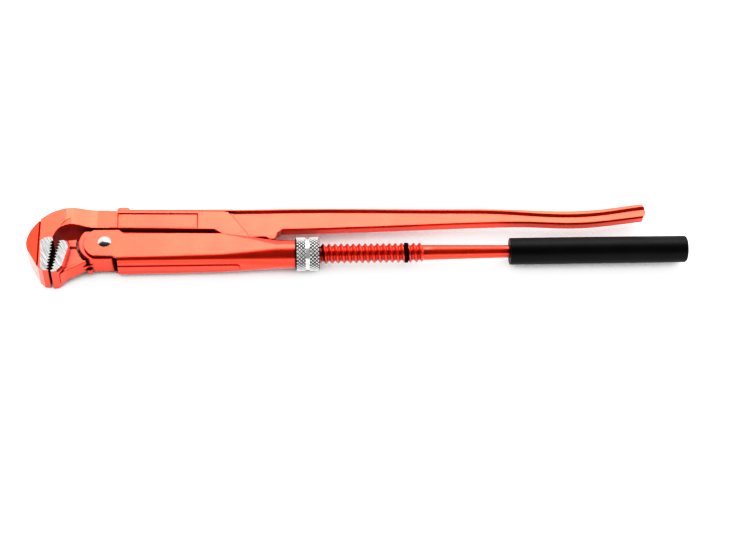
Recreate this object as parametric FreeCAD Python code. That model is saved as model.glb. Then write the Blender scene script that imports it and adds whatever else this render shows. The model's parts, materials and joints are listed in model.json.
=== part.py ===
import FreeCAD, Part
import math
import os

V = FreeCAD.Vector

# Swedish-pattern 90 degree pipe wrench, 2 inch size, lying flat.  Millimetres.
# Working axes: X along the threaded rod towards the handles, Y across towards the
# upper leg, Z through the thickness.  X = 0 and Z = 0 on the pivot, Y = 0 on the rod.

# pivot
pivot_y = 7.5
pin_r = 5.0
pin_head_r = 5.8
pin_head_h = 2.4
pin_clearance = 0.08

# jaws
jaw_half = 12.5
tooth_pitch = 2.95
tooth_depth = 2.2
tooth_count = 10

# hook leg: flat shank with a fork, then a crank down to the round rod
shank_half = 7.7
slot_half = 4.4
slot_x = 3.0
shank_top = 42.6
shank_drop = 0.02
panel_x0 = 10.3
panel_x1 = 76.3
panel_depth = 0.9
crank_joint_y = 8.5

# rod, thread and grip
rod_r = 6.45
rod_end_r = 5.4
thread_pitch = 5.08
thread_mean_r = 7.35
thread_wave = 1.1
thread_x0 = 155.0
thread_x1 = 267.5
thread_clearance = 0.3
ring_x0 = 250.6
ring_x1 = 253.6
ring_r = 8.5
ring_seat_r = 6.2
grip_x0 = 340.0
grip_x1 = 491.4
grip_r = 11.3
grip_wall_end = 3.0

# housing: folded sheet channel that closes into a tube
sheet = 2.5
channel_half = 12.0
mouth_x = 10.8
tube_x = 142.0
tube_end_x = 158.6
bead_half = 4.1
bead_height = 0.9
bead_root = 0.6
bead_end_x = 112.0

# adjusting nut
nut_x0 = 158.9
nut_x1 = 178.8
nut_r = 14.15
nut_groove_x0 = 167.2
nut_groove_x1 = 170.6
nut_groove_depth = 0.7

# heel leg
hub_half = 9.2
web_half = 6.0
neck_half = 7.5
flange_half = 7.2
pocket_half = 1.5
groove_floor = 3.4
hub_x = -3.5
hub_y = 7.8
hub_r = 18.3
arm_half = 4.0
rim_half = 6.0


def polygon(points):
    corners = [V(*p) for p in points]
    return Part.makePolygon(corners + corners[:1])


def slab(points, z0, z1):
    face = Part.Face(polygon([(x, y, z0) for x, y in points]))
    return face.extrude(V(0, 0, z1 - z0))


def plate(points, half):
    return slab(points, -half, half)


def side_prism(upper, y0, y1):
    """Solid from y0 to y1 whose outline seen from the side is `upper` (x, z) and its mirror image."""
    mirrored = [(x, -z) for x, z in reversed(upper) if z > 0]
    face = Part.Face(polygon([(x, y0, z) for x, z in upper + mirrored]))
    return face.extrude(V(0, y1 - y0, 0))


def both_sides(points, z0, z1):
    return [slab(points, z0, z1), slab(points, -z1, -z0)]


def flat_edges(shape, half, keep=lambda p: True):
    """Edges that lie in the planes z = +half and z = -half."""
    found = []
    for e in shape.Edges:
        b = e.BoundBox
        if b.ZLength < 1e-6 and abs(abs(b.ZMin) - half) < 1e-6 and keep(b.Center):
            found.append(e)
    return found


def rod_piece(r, x0, x1):
    return Part.makeCylinder(r, x1 - x0, V(x0, 0, 0), V(1, 0, 0))


def rod_cone(r0, r1, x0, x1):
    return Part.makeCone(r0, r1, x1 - x0, V(x0, 0, 0), V(1, 0, 0))


def fuse(first, others):
    return first.fuse(others).removeSplitter().Solids[0]


def smooth(points, z=0.0):
    curve = Part.BSplineCurve()
    curve.interpolate([V(x, y, z) for x, y in points])
    return curve.toShape()


def outline_slab(edges, half):
    """A slab of +-half thickness from a closed run of edges drawn at z = 0."""
    face = Part.Face(Part.Wire(edges))
    face.translate(V(0, 0, -half))
    return face.extrude(V(0, 0, 2 * half))


def line(p, q):
    return Part.makeLine(V(p[0], p[1], 0), V(q[0], q[1], 0))


def between(a, b, t):
    return (a[0] + (b[0] - a[0]) * t, a[1] + (b[1] - a[1]) * t)


def tooth_cutters(top, bottom, into):
    """V grooves along the line of tooth tips; `into` points from the tips into the jaw."""
    length = math.hypot(bottom[0] - top[0], bottom[1] - top[1])
    step = tooth_pitch / length
    start = (1.0 - step * tooth_count) / 2.0
    cutters = []
    for i in range(tooth_count):
        a = between(top, bottom, start + step * i)
        b = between(top, bottom, start + step * (i + 1))
        root = between(a, b, 0.6)
        deep = (root[0] + into * tooth_depth, root[1])
        rim_a = (a[0] - into * 0.02, a[1])
        rim_b = (b[0] - into * 0.02, b[1])
        cutters.append(plate([rim_a, deep, rim_b], jaw_half + 1.0))
    return cutters


def knuckle_thread(mean_r, x0, x1):
    """Rounded right-hand thread: a disc whose centre winds round the rod axis."""
    path = Part.Wire(Part.makeHelix(thread_pitch, x1 - x0, thread_wave))
    disc = Part.Wire(Part.Circle(V(thread_wave, 0, 0), V(0, 0, 1), mean_r).toShape())
    sweep = Part.BRepOffsetAPI.MakePipeShell(path)
    sweep.setTrihedronMode(V(0, 0, 0), V(0, 0, 1))
    sweep.add(disc)
    sweep.build()
    sweep.makeSolid()
    body = sweep.shape()
    phase = 360.0 * (x0 - thread_x0) / thread_pitch
    body.rotate(V(0, 0, 0), V(0, 0, 1), phase)
    body.rotate(V(0, 0, 0), V(0, 1, 0), 90)
    body.translate(V(x0, 0, 0))
    return body


def shank_edge(x, y0):
    return y0 - shank_drop * (x + 11.0)


# ---------------------------------------------------------------- hook leg
tip_top = (-42.4, 8.8)
tip_bottom = (-44.6, -21.0)
crown = [(-62.6, -0.4), (-65.0, 7.0), (-63.6, 16.7), (-59.9, 23.8), (-54.2, 30.2), (-46.5, 36.6),
         (-38.0, 40.5), (-29.0, 42.4), (-20.0, 42.7)]
throat = [(-41.4, 16.6), (-37.6, 22.2), (-32.0, 25.2), (-24.0, 25.8), (-17.0, 24.9), (-11.0, 24.4)]
facet_x = -53.6
ramp_x0 = -33.0
ramp_x1 = -7.0
ramp_steps = 8


def thickness_profile():
    """Side profile of the head: sloping facet, groove, full jaw thickness, then an easy run down to the shank."""
    drop = jaw_half - shank_half
    upper = [(-70.0, 8.6), (facet_x - 1.7, jaw_half - 0.9), (facet_x - 0.7, jaw_half - 1.9), (facet_x, jaw_half)]
    for i in range(ramp_steps + 1):
        t = i / ramp_steps
        upper.append((ramp_x0 + (ramp_x1 - ramp_x0) * t, jaw_half - drop * t * t * (3.0 - 2.0 * t)))
    upper.append((slot_x, shank_half))
    return side_prism(upper, -50.0, 70.0)


def hook_head():
    slab_edges = [
        line((-49.5, -21.5), (-53.6, -17.6)),
        line((-53.6, -17.6), crown[0]),
        smooth(crown),
        line(crown[-1], (slot_x, shank_edge(slot_x, shank_top))),
        line((slot_x, shank_edge(slot_x, shank_top)), (slot_x, shank_edge(slot_x, 24.4))),
        line((slot_x, shank_edge(slot_x, 24.4)), throat[-1]),
        smooth(throat[::-1]),
        line(throat[0], (-43.2, 12.6)),
        line((-43.2, 12.6), tip_top),
        line(tip_top, tip_bottom),
        line(tip_bottom, (-45.2, -21.5)),
        line((-45.2, -21.5), (-49.5, -21.5)),
    ]
    head = outline_slab(slab_edges, jaw_half).common(thickness_profile())
    crease = [(-36.9, 22.0), (-36.4, 25.2), (-33.4, 28.9), (-25.6, 34.5), (-15.6, 38.6), (-9.0, 40.0), (-9.0, 22.0)]
    steps = both_sides(crease, jaw_half - 0.45, jaw_half + 1.0)
    return head.cut(steps + tooth_cutters(tip_top, tip_bottom, -1)).Solids[0]


def fork_plate(side):
    top0 = shank_edge(slot_x, shank_top)
    low0 = shank_edge(slot_x, 24.4)
    points = [
        (slot_x - 1.0, top0), (98.0, 40.4), (102.5, 39.6), (105.6, 36.0), (117.5, 19.0), (121.5, 11.0),
        (126.5, 5.6), (126.5, -5.6), (122.0, -7.6), (115.0, -7.6), (108.0, 0.0), (100.5, 11.5),
        (96.6, 17.2), (90.8, 21.3), (slot_x - 1.0, low0)]
    z0, z1 = sorted((side * slot_half, side * shank_half))
    blank = slab(points, z0, z1)
    outer = []
    for e in blank.Edges:
        b = e.BoundBox
        if b.ZLength < 1e-6 and abs(b.ZMin - side * shank_half) < 1e-6 and b.Center.x > slot_x:
            outer.append(e)
    return blank.makeFillet(0.8, outer)


def panel_cutter(side):
    """Shallow blank panel with sloping walls."""
    top = shank_edge(panel_x0, 39.2)
    low = shank_edge(panel_x0, 25.7)
    floor_z = side * (shank_half - panel_depth)
    mouth_z = side * (shank_half + 0.3)
    fall = shank_drop * (panel_x1 - panel_x0)

    def ring(grow, z):
        return polygon([(panel_x0 - grow, low - grow, z), (panel_x1 + grow, low - fall - grow, z),
                        (panel_x1 + grow, top - fall + grow, z), (panel_x0 - grow, top + grow, z)])

    return Part.makeLoft([ring(0.0, floor_z), ring(1.2, mouth_z)], True, True)


def rod():
    pieces = [
        rod_piece(rod_r, 118.0, thread_x0 + 2.0),
        rod_piece(rod_r, thread_x1 - 3.0, thread_x1 + 4.0),
        rod_cone(rod_r, rod_end_r, thread_x1 + 4.0, grip_x0),
        rod_piece(rod_end_r, grip_x0, grip_x1 - grip_wall_end),
    ]
    thread = knuckle_thread(thread_mean_r, thread_x0, thread_x1)
    envelope = fuse(rod_cone(rod_r - 0.4, 9.0, thread_x0, thread_x0 + 4.0),
                    [rod_piece(9.0, thread_x0 + 4.0, thread_x1 - 3.0),
                     rod_cone(9.0, rod_r - 0.4, thread_x1 - 3.0, thread_x1)])
    thread = thread.common(envelope)
    seat = rod_piece(10.0, ring_x0, ring_x1).cut(rod_piece(ring_seat_r, ring_x0, ring_x1))
    return fuse(thread.cut(seat), pieces)


def hook_leg():
    bridge = plate([(100.0, crank_joint_y), (122.0, crank_joint_y), (126.5, 5.6), (126.5, -5.6),
                    (122.0, -7.6), (115.0, -7.6), (108.0, 0.0)], slot_half + 0.5)
    plates = [fork_plate(side).cut(panel_cutter(side)) for side in (1, -1)]
    neck = Part.makeLoft([
        Part.Wire(Part.Circle(V(126.0, 0, 0), V(1, 0, 0), 7.4).toShape()),
        Part.Wire(Part.Circle(V(131.0, 0, 0), V(1, 0, 0), rod_r).toShape())], True, True)
    return fuse(hook_head(), plates + [bridge, neck, rod()])


# ---------------------------------------------------------------- heel leg
def heel_jaw():
    tip_top = (-38.1, 8.8)
    tip_bottom = (-43.2, -21.4)
    block = plate([tip_top, (-37.6, 10.0), (-35.0, 10.8), (-30.2, 9.4), (-28.7, 6.0), (-28.6, 1.8),
                   (-32.8, -17.2), (-36.6, -22.2), (-42.6, -22.8), tip_bottom], jaw_half)
    block = block.makeChamfer(1.5, flat_edges(block, jaw_half, lambda c: c.x > -36.5 and c.y > -21.0))
    block = block.cut(tooth_cutters(tip_top, tip_bottom, 1))
    neck = plate([(-33.0, 12.6), (-27.0, 13.2), (-16.0, 14.6), (-16.0, 4.2), (-27.0, 4.6), (-33.0, 4.6)],
                 neck_half)
    neck = neck.makeFillet(1.5, flat_edges(neck, neck_half, lambda c: c.x > -33.0 and c.x < -16.0))
    web = plate([(-33.0, 6.0), (-23.6, 5.6), (-14.9, -9.2), (-21.0, -12.8), (-31.5, -18.2), (-36.0, -22.0)],
                web_half)
    web = web.makeFillet(1.2, flat_edges(web, web_half, lambda c: c.y < -8.0 or c.x > -22.0))
    flange = plate([(-35.6, -21.6), (-31.5, -18.2), (-21.0, -12.8), (-14.9, -9.2), (-16.2, -7.3), (-22.1, -10.6),
                    (-32.6, -16.0), (-36.0, -19.0)], flange_half)
    flange = flange.makeFillet(0.6, flat_edges(flange, flange_half, lambda c: -33.0 < c.x < -17.0))
    floor = plate([(-28.0, 8.0), (-10.0, 8.0), (-10.0, -9.0), (-19.5, -11.6)], pocket_half)
    return fuse(block, [neck, web, flange, floor])


def hub():
    shape = outline_slab([
        Part.Arc(V(-17.6, 19.4, 0), V(hub_x - hub_r, hub_y, 0), V(-13.4, -7.6, 0)).toShape(),
        line((-13.4, -7.6), (-12.0, -8.6)),
        line((-12.0, -8.6), (5.5, -8.2)),
        Part.Arc(V(5.5, -8.2, 0), V(7.9, -6.4, 0), V(8.6, -3.0, 0)).toShape(),
        line((8.6, -3.0), (14.0, 4.0)),
        Part.Arc(V(14.0, 4.0, 0), V(13.2, 13.0, 0), V(6.0, 19.8, 0)).toShape(),
        line((6.0, 19.8), (-17.6, 19.4)),
    ], hub_half)
    rounded = flat_edges(shape, hub_half, lambda c: c.x < -14.0)
    return shape.makeFillet(0.8, rounded)


def hub_groove():
    """Relief round the hub where the neck and the web meet it."""
    cutters = []
    for side in (1, -1):
        outer = Part.makeCylinder(hub_r + 2.2, 20, V(hub_x, hub_y, side * groove_floor), V(0, 0, side))
        inner = Part.makeCylinder(hub_r, 20, V(hub_x, hub_y, side * groove_floor), V(0, 0, side))
        ring = outer.cut(inner)
        keep = Part.makeBox(16.0, 30.0, 60.0, V(-32.0, -12.0, -30.0))
        cutters.append(ring.common(keep))
    return cutters


def parting_lug():
    return Part.makeCylinder(2.3, 6.0, V(-12.6, -9.6, -8.6), V(0, 0, 1))


# handle stations: x, top edge, lower edge, height of the rim below the top edge
handle_stations = [
    (107.0, 43.2, 22.0, 1.8), (128.0, 43.3, 22.2, 1.8), (150.0, 43.4, 22.4, 1.8), (189.0, 43.2, 23.0, 1.8),
    (249.0, 41.9, 24.6, 1.9), (292.0, 41.1, 26.0, 2.0), (335.0, 40.2, 26.9, 2.4), (360.0, 38.7, 26.6, 3.2),
    (388.0, 37.4, 25.0, 3.8), (410.0, 37.8, 25.3, 3.8), (430.0, 39.8, 27.3, 3.6), (447.0, 42.4, 29.6, 3.4),
    (457.0, 43.6, 30.9, 3.2), (464.0, 44.2, 31.8, 3.0)]


def handle_section(x, top, low, rim):
    step = rim_half - arm_half
    half = [
        (top, 0.0), (top, rim_half - 0.7), (top - 0.7, rim_half), (top - rim, rim_half),
        (top - rim - step, arm_half), (low + 1.1, arm_half), (low + 0.3, arm_half - 0.4),
        (low, arm_half - 1.2)]
    mirrored = [(y, -z) for y, z in reversed(half[1:])]
    return polygon([(x, y, z) for y, z in half[1:] + mirrored])


def handle_bar():
    bar = Part.makeLoft([handle_section(*station) for station in handle_stations], True, False)
    tip = outline_slab([
        smooth([(440.0, 60.0), (452.0, 47.0), (458.6, 41.5), (460.4, 36.0), (457.8, 31.2), (446.0, 24.0)]),
        line((446.0, 24.0), (480.0, 24.0)),
        line((480.0, 24.0), (480.0, 60.0)),
        line((480.0, 60.0), (440.0, 60.0))], 12.0)
    return bar.cut(tip)


def arm():
    """Flat arm that rises from the hub through the fork, with the squeeze stop at its lower edge."""
    body = plate([
        (-4.0, 2.0), (8.8, -1.0), (15.0, -1.0), (24.0, 6.4), (34.0, 9.9), (60.0, 11.2), (107.0, 13.8),
        (131.5, 15.6), (134.5, 15.2), (137.0, 13.1), (141.0, 12.8), (142.6, 15.0), (144.0, 19.2),
        (147.5, 22.2), (150.0, 30.0), (107.5, 42.0), (8.8, 43.4), (8.8, 16.0), (-4.0, 16.0)], arm_half)
    body = body.makeFillet(0.8, flat_edges(body, arm_half, lambda c: 60.0 < c.x < 147.0 and c.y < 21.0))
    rim = plate([(8.8, 43.0), (60.0, 42.3), (107.0, 41.4), (107.0, 43.2), (60.0, 43.5), (8.8, 44.3)], rim_half)
    lug = plate([(8.8, 43.2), (19.4, 43.2), (19.4, 45.2), (18.3, 46.6), (16.6, 46.9), (11.4, 46.9),
                 (9.7, 46.4), (8.8, 45.0)], rim_half)
    lug = lug.makeFillet(1.0, flat_edges(lug, rim_half, lambda c: c.y > 44.5))
    return fuse(body, [rim, lug])


def heel_leg():
    leg = fuse(hub(), [heel_jaw().cut(hub_groove()), arm(), handle_bar(), parting_lug()])
    bore = Part.makeCylinder(pin_r + pin_clearance, 60, V(0, pivot_y, -30), V(0, 0, 1))
    return leg.cut(bore)


# ---------------------------------------------------------------- housing
def channel_section(x, low, top, half, r_low, r_top):
    """Rounded rectangle in the plane at x, with its own radius for each pair of corners."""

    def arc(cy, cz, r, a0):
        pts = []
        for a in (a0, a0 + 45, a0 + 90):
            t = math.radians(a)
            pts.append(V(x, cy + r * math.cos(t), cz + r * math.sin(t)))
        return pts

    corners = [arc(top - r_top, half - r_top, r_top, 0), arc(low + r_low, half - r_low, r_low, 90),
               arc(low + r_low, r_low - half, r_low, 180), arc(top - r_top, r_top - half, r_top, 270)]
    edges = []
    for i, c in enumerate(corners):
        edges.append(Part.Arc(*c).toShape())
        edges.append(Part.makeLine(c[2], corners[(i + 1) % 4][0]))
    return Part.Wire(edges)


def channel(offset):
    """Outer skin for offset 0, inner skin for offset = sheet."""
    stations = [(mouth_x, 16.0, 4.2, 1.0), (60.0, 15.5, 5.0, 1.0), (97.0, 15.0, 6.2, 1.5), (121.0, 13.4, 9.0, 6.5),
                (tube_x, 12.0, 11.9, 11.9)]
    first = -1.0 if offset else 0.0
    wires = []
    for x, top, r_low, r_top in stations:
        x = x + first if x == mouth_x else x
        wires.append(channel_section(x, -channel_half + offset, top - offset, channel_half - offset,
                                     max(r_low - offset, 0.9), max(r_top - offset, 0.9)))
    return Part.makeLoft(wires, True, True)


def housing():
    ear = outline_slab([
        Part.Arc(V(-9.0, 19.1, 0), V(-17.1, 6.6, 0), V(-9.5, -6.4, 0)).toShape(),
        line((-9.5, -6.4), (6.6, -6.9)),
        line((6.6, -6.9), (mouth_x, -8.6)),
        line((mouth_x, -8.6), (mouth_x + 3.0, -8.0)),
        line((mouth_x + 3.0, -8.0), (15.0, 15.9)),
        line((15.0, 15.9), (11.6, 19.0)),
        line((11.6, 19.0), (-9.0, 19.1))], channel_half)
    tube = rod_piece(channel_half, tube_x - 0.1, tube_end_x)
    inner_half = channel_half - sheet
    body = fuse(channel(0.0), [ear, tube])
    body = body.cut([channel(sheet), rod_piece(inner_half, tube_x - 1.0, tube_end_x + 1.0)])
    slot = side_prism([(-30.0, inner_half), (112.0, inner_half - 0.1), (124.0, 8.4), (130.5, 5.2), (133.5, 0.0)],
                      3.0, 43.0)
    gap = plate([(-30.0, -9.0), (mouth_x, -9.0), (mouth_x, 3.5), (-30.0, 3.5)], inner_half)
    body = body.cut([slot, gap])

    def bead_ring(half, y):
        end = bead_end_x - half
        return Part.Wire([
            Part.makeLine(V(mouth_x, y, -half), V(end, y, -half)),
            Part.Arc(V(end, y, -half), V(end + half, y, 0), V(end, y, half)).toShape(),
            Part.makeLine(V(end, y, half), V(mouth_x, y, half)),
            Part.makeLine(V(mouth_x, y, half), V(mouth_x, y, -half))])

    bead = Part.makeLoft([bead_ring(bead_half - bead_height, -channel_half - bead_height),
                          bead_ring(bead_half + bead_root, -channel_half + bead_root)], True, True)
    hole = Part.makeCylinder(pin_r, 60, V(0, pivot_y, -30), V(0, 0, 1))
    return fuse(body, [bead]).cut(hole).Solids[0]


def pivot_pin():
    shaft = Part.makeCylinder(pin_r, 2 * channel_half, V(0, pivot_y, -channel_half), V(0, 0, 1))
    ball_r = (pin_head_r ** 2 + pin_head_h ** 2) / (2 * pin_head_h)
    heads = []
    for side in (1, -1):
        ball = Part.makeSphere(ball_r, V(0, pivot_y, side * (channel_half + pin_head_h - ball_r)))
        cap = Part.makeCylinder(pin_head_r, pin_head_h, V(0, pivot_y, side * channel_half), V(0, 0, side))
        heads.append(ball.common(cap))
    return fuse(shaft, heads)


# ---------------------------------------------------------------- nut, ring, grip
def adjusting_nut():
    blank = rod_piece(nut_r, nut_x0, nut_x1)
    ends = [e for e in blank.Edges if e.BoundBox.XLength < 1e-6]
    blank = blank.makeChamfer(0.9, ends)
    groove = rod_piece(nut_r + 1, nut_groove_x0, nut_groove_x1)
    groove = groove.cut(rod_piece(nut_r - nut_groove_depth, nut_groove_x0, nut_groove_x1))
    bore = knuckle_thread(thread_mean_r + thread_clearance, nut_x0 - thread_pitch, nut_x1 + thread_pitch)
    return blank.cut(groove).cut(bore)


def thread_stop_ring():
    blank = rod_piece(ring_r, ring_x0, ring_x1)
    blank = blank.makeFillet(0.5, [e for e in blank.Edges if e.BoundBox.XLength < 1e-6])
    return blank.cut(rod_piece(ring_seat_r, ring_x0 - 1, ring_x1 + 1))


def handle_grip():
    sleeve = rod_piece(grip_r, grip_x0, grip_x1)
    sleeve = sleeve.makeFillet(0.6, [e for e in sleeve.Edges if e.BoundBox.XMax < grip_x0 + 1])
    sleeve = sleeve.makeFillet(2.2, [e for e in sleeve.Edges if e.BoundBox.XMin > grip_x1 - 1])
    return sleeve.cut(rod_piece(rod_end_r, grip_x0 - 1, grip_x1 - grip_wall_end))


solids = {
    "hook_leg": hook_leg(),
    "heel_leg": heel_leg(),
    "housing": housing(),
    "pivot_pin": pivot_pin(),
    "adjusting_nut": adjusting_nut(),
    "thread_stop_ring": thread_stop_ring(),
    "handle_grip": handle_grip(),
}

box = Part.makeCompound(list(solids.values())).optimalBoundingBox(False)
shift = V(-(box.XMin + box.XMax) / 2, -(box.YMin + box.YMax) / 2, -box.ZMin)
os.makedirs("parts", exist_ok=True)
for node, shape in solids.items():
    solid = shape.Solids[0]
    solid.translate(shift)
    solid.exportStep(f"parts/{node}.step")
    print(node, len(shape.Solids), len(solid.Faces), solid.isValid())
print("pivot at", shift.x, shift.y + pivot_y, shift.z)
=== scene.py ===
import bpy
import json
import math
from mathutils import Matrix, Vector


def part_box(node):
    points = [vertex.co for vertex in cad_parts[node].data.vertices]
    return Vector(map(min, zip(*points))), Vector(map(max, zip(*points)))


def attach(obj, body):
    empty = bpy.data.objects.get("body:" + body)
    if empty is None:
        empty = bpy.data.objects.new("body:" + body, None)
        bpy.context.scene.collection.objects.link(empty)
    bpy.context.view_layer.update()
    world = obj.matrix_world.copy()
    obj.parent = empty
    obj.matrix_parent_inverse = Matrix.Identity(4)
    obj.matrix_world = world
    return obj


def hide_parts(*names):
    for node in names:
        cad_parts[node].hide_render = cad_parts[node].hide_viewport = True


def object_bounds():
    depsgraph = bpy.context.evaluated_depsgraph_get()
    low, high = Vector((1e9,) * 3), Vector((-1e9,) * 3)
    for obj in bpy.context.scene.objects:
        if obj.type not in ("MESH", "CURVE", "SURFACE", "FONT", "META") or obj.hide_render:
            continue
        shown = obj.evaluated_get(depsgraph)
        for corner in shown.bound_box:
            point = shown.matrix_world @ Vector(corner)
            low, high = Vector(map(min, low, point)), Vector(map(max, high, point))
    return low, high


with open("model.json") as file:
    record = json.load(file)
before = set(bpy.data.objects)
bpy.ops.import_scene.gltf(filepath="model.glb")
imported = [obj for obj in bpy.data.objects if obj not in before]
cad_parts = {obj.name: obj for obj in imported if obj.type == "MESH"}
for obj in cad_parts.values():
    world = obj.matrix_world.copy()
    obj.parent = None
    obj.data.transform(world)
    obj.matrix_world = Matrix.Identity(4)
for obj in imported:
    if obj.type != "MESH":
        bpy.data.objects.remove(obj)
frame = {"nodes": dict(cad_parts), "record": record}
cad_low, cad_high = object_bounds()
nodes = frame["nodes"]
scene = bpy.context.scene


def joint(name):
    return next(j for j in frame["record"]["behaviour"]["joints"] if j["name"] == name)


PIVOT = Vector(joint("heel_hinge")["pos_m"])
ROD = Vector(joint("nut_spin")["pos_m"])


def at(x, y, z=0.0):
    """A point given in millimetres from the rod axis below the pivot, in the row frame."""
    return Vector((PIVOT.x + x / 1000, ROD.y + y / 1000, ROD.z + z / 1000))


# ------------------------------------------------------------------ node helpers
NOISE_ROUGHNESS = 0.55
OUTLINE_SOFTNESS = 0.0002
UPWARD_LEAN = 0.9


class Tree:
    """A small wrapper for building a material's node tree."""

    def __init__(self, name):
        self.mat = bpy.data.materials.new(name)
        self.mat.use_nodes = True
        self.nodes = self.mat.node_tree.nodes
        self.links = self.mat.node_tree.links
        self.shader = self.nodes["Principled BSDF"]
        self.place = self.nodes.new("ShaderNodeTexCoord").outputs["Object"]

    def put(self, socket, value):
        if isinstance(value, bpy.types.NodeSocket):
            self.links.new(value, socket)
        elif hasattr(socket.default_value, "__len__") and not hasattr(value, "__len__"):
            socket.default_value = [value] * len(socket.default_value)
        else:
            socket.default_value = value

    def math(self, op, a, b=0.0):
        n = self.nodes.new("ShaderNodeMath")
        n.operation = op
        self.put(n.inputs[0], a)
        self.put(n.inputs[1], b)
        return n.outputs[0]

    def vector(self, op, a, b=(0, 0, 0)):
        n = self.nodes.new("ShaderNodeVectorMath")
        n.operation = op
        self.put(n.inputs[0], a)
        self.put(n.inputs[1], b)
        return n.outputs["Value" if op in ("DOT_PRODUCT", "LENGTH") else "Vector"]

    def noise(self, scale, detail=3.0, stretch=None):
        n = self.nodes.new("ShaderNodeTexNoise")
        where = self.place if stretch is None else self.vector("MULTIPLY", self.place, stretch)
        self.put(n.inputs["Vector"], where)
        n.inputs["Scale"].default_value = scale
        n.inputs["Detail"].default_value = detail
        n.inputs["Roughness"].default_value = NOISE_ROUGHNESS
        return n.outputs["Fac"]

    def remap(self, value, a, b, c=0.0, d=1.0):
        n = self.nodes.new("ShaderNodeMapRange")
        n.interpolation_type = "SMOOTHSTEP"
        for i, v in enumerate((value, a, b, c, d)):
            self.put(n.inputs[i], v)
        return n.outputs[0]

    def streaks(self, along, across, fine_along, fine_across):
        """Noise drawn out along one direction, for grinding marks."""
        n = self.nodes.new("ShaderNodeCombineXYZ")
        self.put(n.inputs[0], self.math("MULTIPLY", along, fine_along))
        self.put(n.inputs[1], self.math("MULTIPLY", across, fine_across))
        grain = self.nodes.new("ShaderNodeTexNoise")
        self.put(grain.inputs["Vector"], n.outputs[0])
        grain.inputs["Scale"].default_value = 1.0
        grain.inputs["Detail"].default_value = 2.0
        return grain.outputs["Fac"]

    def mix(self, fac, a, b):
        n = self.nodes.new("ShaderNodeMix")
        n.data_type = "RGBA"
        self.put(n.inputs[0], fac)
        self.put(n.inputs[6], a if isinstance(a, bpy.types.NodeSocket) else (*a, 1.0))
        self.put(n.inputs[7], b if isinstance(b, bpy.types.NodeSocket) else (*b, 1.0))
        return n.outputs[2]

    def axis(self, source, which):
        n = self.nodes.new("ShaderNodeSeparateXYZ")
        self.put(n.inputs[0], source)
        return n.outputs[which]

    def bump(self, height, distance, strength=1.0, normal=None):
        n = self.nodes.new("ShaderNodeBump")
        n.inputs["Strength"].default_value = strength
        n.inputs["Distance"].default_value = distance
        self.put(n.inputs["Height"], height)
        if normal is not None:
            self.put(n.inputs["Normal"], normal)
        return n.outputs[0]

    def soft_edges(self, radius):
        """Normal that rounds the sharp edges over a small radius."""
        n = self.nodes.new("ShaderNodeBevel")
        n.samples = 4
        n.inputs["Radius"].default_value = radius
        return n.outputs[0]

    def openness(self, distance):
        """Ambient occlusion for painted shade: 1 on open faces, towards 0 in recesses; weighed upwards so
        that the floor counts little.
        """
        facing = self.nodes.new("ShaderNodeNewGeometry").outputs["Normal"]
        lean = self.vector("ADD", facing, (0, 0, UPWARD_LEAN))
        n = self.nodes.new("ShaderNodeAmbientOcclusion")
        n.samples = 6
        n.inputs["Distance"].default_value = distance
        self.put(n.inputs["Normal"], self.vector("NORMALIZE", lean))
        return n.outputs["AO"]

    def convex(self, corners):
        """1 inside a convex outline in XY (corners anticlockwise, mm from the rod and pivot), 0 outside."""
        value = None
        for i, a in enumerate(corners):
            b = corners[(i + 1) % len(corners)]
            p, q = at(*a), at(*b)
            side = Vector((-(q - p).y, (q - p).x, 0)).normalized()
            reach = self.vector("DOT_PRODUCT", self.place, tuple(side))
            dist = self.math("SUBTRACT", reach, side.dot(p))
            value = dist if value is None else self.math("MINIMUM", value, dist)
        return self.remap(value, -OUTLINE_SOFTNESS, OUTLINE_SOFTNESS)


# ------------------------------------------------------------------ camera
AZIMUTH, ELEVATION, ROLL = math.radians(-5.8), math.radians(56.0), math.radians(3.979)
DISTANCE, LENS = 1.4674, 86.55
AIM_PAST_PIVOT, AIM_Y = 0.216516, -0.03307
NEAR, FAR = 0.05, 30.0
aim = Vector((PIVOT.x + AIM_PAST_PIVOT, AIM_Y, ROD.z))
sideways = math.cos(ELEVATION)
back = Vector((math.sin(AZIMUTH) * sideways, -math.cos(AZIMUTH) * sideways, math.sin(ELEVATION)))
right = (-back).cross(Vector((0, 0, 1))).normalized()
up = right.cross(-back)
right, up = (right * math.cos(ROLL) + up * math.sin(ROLL), up * math.cos(ROLL) - right * math.sin(ROLL))
cam_data = bpy.data.cameras.new("camera")
cam_data.lens = LENS
cam_data.clip_start, cam_data.clip_end = NEAR, FAR
camera = bpy.data.objects.new("camera", cam_data)
scene.collection.objects.link(camera)
camera.matrix_world = Matrix.Translation(aim + back * DISTANCE) @ Matrix((
    (right.x, up.x, back.x, 0), (right.y, up.y, back.y, 0), (right.z, up.z, back.z, 0), (0, 0, 0, 1)))
scene.camera = camera


# ------------------------------------------------------------------ materials
HOOK_PAD = [(-53.2, 8.9), (-51.5, -20.9), (-44.6, -20.9), (-42.2, 9.2), (-44.6, 12.6), (-49.3, 11.9)]
HEEL_PAD = [(-38.2, 9.2), (-43.4, -21.6), (-42.4, -22.9), (-36.8, -22.2), (-32.9, -17.3), (-28.8, 1.8),
            (-28.8, 6.0), (-30.2, 9.2), (-35.0, 10.6), (-37.6, 9.9)]
METAL_FLAKE = 0.68
EDGE_RADIUS = 0.0008
METAL_EDGE = 0.0003
# reaches and dark red of the painted shade in recesses and crevices
RECESS_REACH = 0.010
CREVICE_REACH = 0.0024
PAINTED_SHADE_RED = (0.10, 0.001, 0.0)
# distance of the ground jaw faces from the middle plane, where the mask begins and ends
PAD_LEVEL = (0.01215, 0.01235)
GRIND_ALONG, GRIND_ACROSS = (0.50, -0.87, 0.0), (0.87, 0.50, 0.0)


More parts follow.
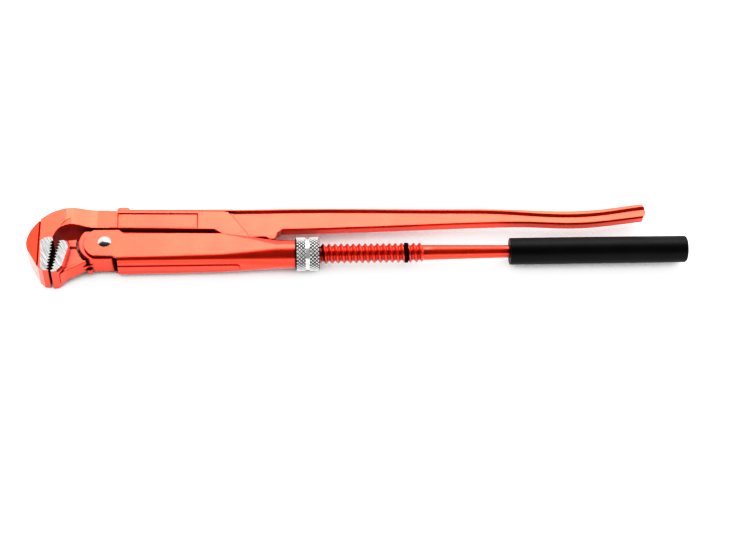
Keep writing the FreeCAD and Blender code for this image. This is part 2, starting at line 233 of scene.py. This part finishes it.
def enamel(name, pad=None):
    t = Tree(name)
    s = t.shader
    broad = t.noise(9.0, 2.0)
    speck = t.noise(260.0, 3.0)
    colour = t.mix(t.remap(broad, 0.3, 0.7), (0.95, 0.060, 0.016), (1.0, 0.076, 0.022))
    colour = t.mix(t.remap(speck, 0.68, 0.84, 0.0, 0.22), colour, (0.72, 0.030, 0.005))
    rough = t.remap(t.noise(60.0, 4.0), 0.3, 0.7, 0.27, 0.34)
    peel = t.noise(420.0, 2.0)
    normal = t.bump(peel, 0.00002, 0.30, t.soft_edges(EDGE_RADIUS))
    metal = METAL_FLAKE
    # painted shade: the paint turns dark red in recesses and crevices, where shade falls
    painted_shade_wide = t.remap(t.openness(RECESS_REACH), 0.35, 0.92)
    painted_shade_fine = t.remap(t.openness(CREVICE_REACH), 0.40, 0.96, 0.25, 1.0)
    colour = t.mix(t.math("MULTIPLY", painted_shade_wide, painted_shade_fine), PAINTED_SHADE_RED, colour)
    if pad:
        ground = t.convex(pad)
        level = t.math("ABSOLUTE", t.math("SUBTRACT", t.axis(t.place, 2), ROD.z))
        face = t.remap(level, *PAD_LEVEL)
        mask = t.math("MULTIPLY", ground, face)
        along = t.vector("DOT_PRODUCT", t.place, GRIND_ALONG)
        across = t.vector("DOT_PRODUCT", t.place, GRIND_ACROSS)
        lines = t.streaks(along, across, 90.0, 1500.0)
        steel = t.mix(t.remap(lines, 0.34, 0.66), (0.14, 0.14, 0.14), (0.38, 0.38, 0.375))
        colour = t.mix(mask, colour, steel)
        rough = t.math("ADD", rough, t.math("MULTIPLY", mask, 0.10))
        metal = t.math("ADD", METAL_FLAKE, t.math("MULTIPLY", mask, 0.45))
        normal = t.bump(t.math("MULTIPLY", lines, mask), 0.00004, 0.5, normal)
    t.put(s.inputs["Base Color"], colour)
    t.put(s.inputs["Metallic"], metal)
    t.put(s.inputs["Roughness"], rough)
    t.put(s.inputs["Normal"], normal)
    s.inputs["Coat Weight"].default_value = 1.0
    s.inputs["Coat Roughness"].default_value = 0.2
    return t.mat


def plain_metal(name, low, high, rough_low, rough_high):
    t = Tree(name)
    t.put(t.shader.inputs["Base Color"], t.mix(t.remap(t.noise(120.0), 0.3, 0.7), low, high))
    t.put(t.shader.inputs["Roughness"], t.remap(t.noise(300.0, 4.0), 0.3, 0.7, rough_low, rough_high))
    t.put(t.shader.inputs["Normal"], t.bump(t.noise(900.0, 2.0), 0.00001, 0.3, t.soft_edges(METAL_EDGE)))
    t.shader.inputs["Metallic"].default_value = 1.0
    return t.mat


def knurl_zinc(name, valley, crest, groove):
    """Bright zinc on the crests and in the groove; dark in the knurl's valleys and on the end faces, a
    painted shade.
    """
    t = Tree(name)
    off = t.vector("SUBTRACT", t.place, tuple(ROD))
    radius = t.vector("LENGTH", t.vector("MULTIPLY", off, (0.0, 1.0, 1.0)))
    along = t.math("ABSOLUTE", t.math("SUBTRACT", t.axis(t.place, 0), (groove[0] + groove[1]) / 2))
    turned = t.remap(along, (groove[1] - groove[0]) / 2 - 0.0001, (groove[1] - groove[0]) / 2, 1.0, 0.0)
    # painted shade: below the valley radius the zinc is coloured near-black
    unshaded = t.math("MAXIMUM", t.remap(radius, valley, crest), turned)
    bright = t.mix(t.remap(t.noise(200.0), 0.3, 0.7), (0.74, 0.74, 0.73), (0.92, 0.92, 0.91))
    t.put(t.shader.inputs["Base Color"], t.mix(unshaded, (0.012, 0.012, 0.013), bright))
    t.put(t.shader.inputs["Roughness"], t.remap(t.noise(500.0, 3.0), 0.3, 0.7, 0.16, 0.26))
    t.put(t.shader.inputs["Normal"], t.bump(t.noise(1200.0, 2.0), 0.00001, 0.25))
    t.shader.inputs["Metallic"].default_value = 0.5
    return t.mat


def rubber(name):
    t = Tree(name)
    grain = t.noise(1500.0, 2.0)
    scuff = t.noise(55.0, 5.0, stretch=(0.25, 1.0, 1.0))
    dark = t.mix(t.remap(t.noise(40.0), 0.3, 0.7), (0.003, 0.003, 0.004), (0.007, 0.007, 0.008))
    worn = t.remap(scuff, 0.62, 0.85, 0.0, 0.5)
    t.put(t.shader.inputs["Base Color"], t.mix(worn, dark, (0.03, 0.03, 0.03)))
    t.put(t.shader.inputs["Roughness"], t.remap(grain, 0.3, 0.7, 0.38, 0.52))
    t.put(t.shader.inputs["Normal"], t.bump(grain, 0.00006, 0.5, t.soft_edges(0.0006)))
    t.shader.inputs["Specular IOR Level"].default_value = 0.3
    return t.mat


# ------------------------------------------------------------------ knurled adjusting nut
NUT_GROOVE = (0.0083, 0.0117)
NUT_GROOVE_DEPTH = 0.0009
NUT_CHAMFER = 0.0009
NUT_BORE = 0.0088
KNURL_DEPTH = 0.0007
KNURL_COUNT = 28
KNURL_STEPS = 12
KNURL_VALLEY = 0.26


def knurled_nut():
    low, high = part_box("adjusting_nut")
    length, crest = high.x - low.x, (high.z - low.z) / 2
    pitch = 2 * math.pi * crest / KNURL_COUNT
    around = KNURL_COUNT * KNURL_STEPS
    rows = [0.0, NUT_CHAMFER, NUT_GROOVE[0], NUT_GROOVE[0] + 0.0002, NUT_GROOVE[1] - 0.0002,
            NUT_GROOVE[1], length - NUT_CHAMFER, length]
    step = pitch / KNURL_STEPS
    for first, last in ((NUT_CHAMFER, NUT_GROOVE[0]), (NUT_GROOVE[1], length - NUT_CHAMFER)):
        count = round((last - first) / step)
        rows += [first + (last - first) * i / count for i in range(1, count)]
    rows.sort()

    def near_line(t):
        return max(0.0, 1.0 - abs(t - round(t)) / KNURL_VALLEY)

    def radius(x, turn):
        inset = max(NUT_CHAMFER - x, x - (length - NUT_CHAMFER), 0.0)
        if NUT_GROOVE[0] + 0.0001 < x < NUT_GROOVE[1] - 0.0001:
            return crest - NUT_GROOVE_DEPTH
        if inset > 0.0:
            return crest - inset * 0.8
        u, v = turn * KNURL_COUNT, x / pitch
        return crest - KNURL_DEPTH * max(near_line(u + v), near_line(u - v))

    rings = [(x, [radius(x, k / around) for k in range(around)]) for x in rows]
    rings += [(length, [NUT_BORE] * around), (0.0, [NUT_BORE] * around)]
    verts, faces = [], []
    for x, radii in rings:
        for k, r in enumerate(radii):
            a = 2 * math.pi * k / around
            verts.append((low.x + x, ROD.y + r * math.cos(a), ROD.z + r * math.sin(a)))
    for i in range(len(rings)):
        j = (i + 1) % len(rings)
        for k in range(around):
            m = (k + 1) % around
            faces.append((i * around + k, i * around + m, j * around + m, j * around + k))
    mesh = bpy.data.meshes.new("knurled_nut")
    mesh.from_pydata(verts, [], faces)
    mesh.validate()
    mesh.shade_smooth()
    mesh.set_sharp_from_angle(angle=math.radians(38))
    piece = bpy.data.objects.new("knurled_nut", mesh)
    scene.collection.objects.link(piece)
    mesh.materials.append(knurl_zinc("nut_zinc", crest - KNURL_DEPTH * 0.75, crest - KNURL_DEPTH * 0.30,
                                     [low.x + g for g in NUT_GROOVE]))
    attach(piece, "adjusting_nut")
    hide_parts("adjusting_nut")


def dress(node, mat):
    obj = nodes[node]
    obj.data.materials.clear()
    obj.data.materials.append(mat)


dress("hook_leg", enamel("hook_enamel", HOOK_PAD))
dress("heel_leg", enamel("heel_enamel", HEEL_PAD))
dress("housing", enamel("housing_enamel"))
dress("pivot_pin", plain_metal("rivet_steel", (0.50, 0.50, 0.48), (0.66, 0.66, 0.63), 0.20, 0.28))
dress("thread_stop_ring", plain_metal("ring_black", (0.012, 0.004, 0.004), (0.035, 0.010, 0.008), 0.3, 0.5))
dress("handle_grip", rubber("grip_rubber"))
knurled_nut()

# ------------------------------------------------------------------ floor and light
FLOOR_HALF, FLOOR_GAP = 4.0, 0.0002
# the floor glows as a light from below; the glow fades near the object as a painted shadow
FLOOR_GLOW, FLOOR_SHADE_REACH = 0.95, 0.05
floor_mesh = bpy.data.meshes.new("floor")
corners = [(x * FLOOR_HALF, y * FLOOR_HALF, 0) for x, y in ((-1, -1), (1, -1), (1, 1), (-1, 1))]
floor_mesh.from_pydata(corners, [], [(0, 1, 2, 3)])
floor = bpy.data.objects.new("floor", floor_mesh)
floor.location.z = cad_low.z - FLOOR_GAP
scene.collection.objects.link(floor)
paper = Tree("paper")
pale = paper.mix(paper.noise(3.0), (0.42, 0.42, 0.42), (0.44, 0.44, 0.44))
paper.put(paper.shader.inputs["Base Color"], pale)
paper.shader.inputs["Roughness"].default_value = 0.9
paper.shader.inputs["Specular IOR Level"].default_value = 0.0
paper.shader.inputs["Emission Color"].default_value = (1.0, 1.0, 1.0, 1.0)
# painted shadow: the floor's glow fades to nothing near and under the object
glow_with_painted_shadow = paper.remap(paper.openness(FLOOR_SHADE_REACH), 0.12, 0.55, 0.0, FLOOR_GLOW)
paper.put(paper.shader.inputs["Emission Strength"], glow_with_painted_shadow)
floor_mesh.materials.append(paper.mat)


# brightness along the arch from behind (0) to in front (1), and for KEY_SPAN from -X (0) to +X (1)
SKY_POWER, KEY_POWER = 1.25, 3.2
SKY_ARCH = [(0.0, 0.6), (0.10, 1.1), (0.18, 1.1), (0.40, 1.0), (0.48, 0.08),
            (0.86, 0.05), (0.92, 1.6), (1.0, 1.6)]
KEY_ARCH = [(0.16, 0.0), (0.24, 1.0), (0.38, 1.0), (0.46, 0.0)]
KEY_SPAN = [(0.0, 0.0), (0.40, 0.0), (0.485, 1.0), (0.60, 0.85), (0.80, 0.45), (1.0, 0.2)]


def studio_sky():
    """Soft studio light: bright behind, dark overhead in front, with a low bright strip in front."""
    world = bpy.data.worlds.new("studio")
    world.use_nodes = True
    tree = world.node_tree
    background = tree.nodes["Background"]
    way = tree.nodes.new("ShaderNodeTexCoord").outputs["Generated"]
    split = tree.nodes.new("ShaderNodeSeparateXYZ")
    tree.links.new(way, split.inputs[0])

    def op(kind, a, b=0.0):
        n = tree.nodes.new("ShaderNodeMath")
        n.operation = kind
        for socket, value in zip(n.inputs, (a, b)):
            if isinstance(value, bpy.types.NodeSocket):
                tree.links.new(value, socket)
            else:
                socket.default_value = value
        return n.outputs[0]

    def ramp(value, stops):
        n = tree.nodes.new("ShaderNodeValToRGB")
        n.color_ramp.interpolation = "EASE"
        marks = n.color_ramp.elements
        while len(marks) < len(stops):
            marks.new(0.5)
        for mark, (where, bright) in zip(marks, stops):
            mark.position = where
            mark.color = (bright, bright, bright, 1.0)
        tree.links.new(value, n.inputs[0])
        return n.outputs[0]

    # 0 at the horizon behind, 0.5 overhead, 1 at the horizon in front
    over = op("DIVIDE", op("ARCTAN2", split.outputs[2], split.outputs[1]), math.pi)
    arch = ramp(over, SKY_ARCH)
    across = op("ADD", op("MULTIPLY", split.outputs[0], 0.5), 0.5)
    key = op("MULTIPLY", ramp(over, KEY_ARCH), ramp(across, KEY_SPAN))
    total = op("ADD", op("MULTIPLY", arch, SKY_POWER), op("MULTIPLY", key, KEY_POWER))
    tree.links.new(total, background.inputs[1])
    background.inputs[0].default_value = (1, 1, 1, 1)
    scene.world = world


studio_sky()
scene.view_settings.view_transform = "Standard"
scene.view_settings.look = "None"
scene.view_settings.use_curve_mapping = True
TONE = [(0.06, 0.022), (0.22, 0.165), (0.50, 0.52), (0.80, 0.88)]
tone_curve = scene.view_settings.curve_mapping.curves[3]
for where, value in TONE:
    tone_curve.points.new(where, value)
scene.view_settings.curve_mapping.update()
